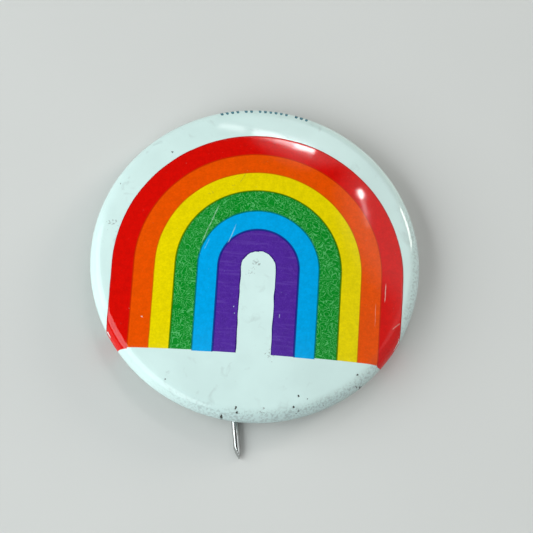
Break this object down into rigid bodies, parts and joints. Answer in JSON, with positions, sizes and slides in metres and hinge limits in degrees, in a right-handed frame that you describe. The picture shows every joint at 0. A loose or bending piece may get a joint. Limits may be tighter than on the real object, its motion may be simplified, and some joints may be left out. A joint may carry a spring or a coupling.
{
  "type": "button badge",
  "caption": "Round button badge: a domed, rainbow-printed stamped tin shell with a curled rim and open back, and a spring wire ring in the rim whose free end is the pin.",
  "frame": {"origin": "on the badge's axis, in the plane that the curled rim rests on", "axes": "+Z along the badge's axis and out of its face; +Y towards the top of the rainbow; +X towards the right as the face is read"},
  "size_m": [0.0382, 0.0419, 0.0058],
  "materials": {
    "bare_tinplate": "bare rolled tinplate, satin",
    "white_enamel": "glossy baked coat",
    "violet_ink": "glossy printed ink",
    "blue_ink": "glossy printed ink",
    "green_ink": "glossy printed ink, lightly mottled",
    "yellow_ink": "glossy printed ink",
    "orange_ink": "glossy printed ink",
    "red_ink": "glossy printed ink",
    "teal_ink": "glossy printed ink",
    "spring_wire": "bright plated spring wire"
  },
  "bodies": {
    "button": {"tin_shell": "bare_tinplate", "white_coat": "white_enamel", "violet_ink_band": "violet_ink", "blue_ink_band": "blue_ink", "green_ink_band": "green_ink", "yellow_ink_band": "yellow_ink", "orange_ink_band": "orange_ink", "red_ink_band": "red_ink", "rim_marks": "teal_ink"},
    "wire_ring": {"spring_ring": "spring_wire"},
    "wire_arm": {"pin_arm": "spring_wire"}
  },
  "joints": [
    {"name": "pin_turn", "type": "hinge", "parent": "button", "child": "wire_ring", "pos_m": [0, 0, 0], "axis": [0, 0, 1], "continuous": true},
    {"name": "pin_flex", "type": "hinge", "parent": "wire_ring", "child": "wire_arm", "pos_m": [-0.00618, 0.01416, 0.00181], "axis": [0.9885, 0.1513, 0], "range_deg": [0, 25], "stiffness_Nm_per_rad": 0.06}
  ]
}
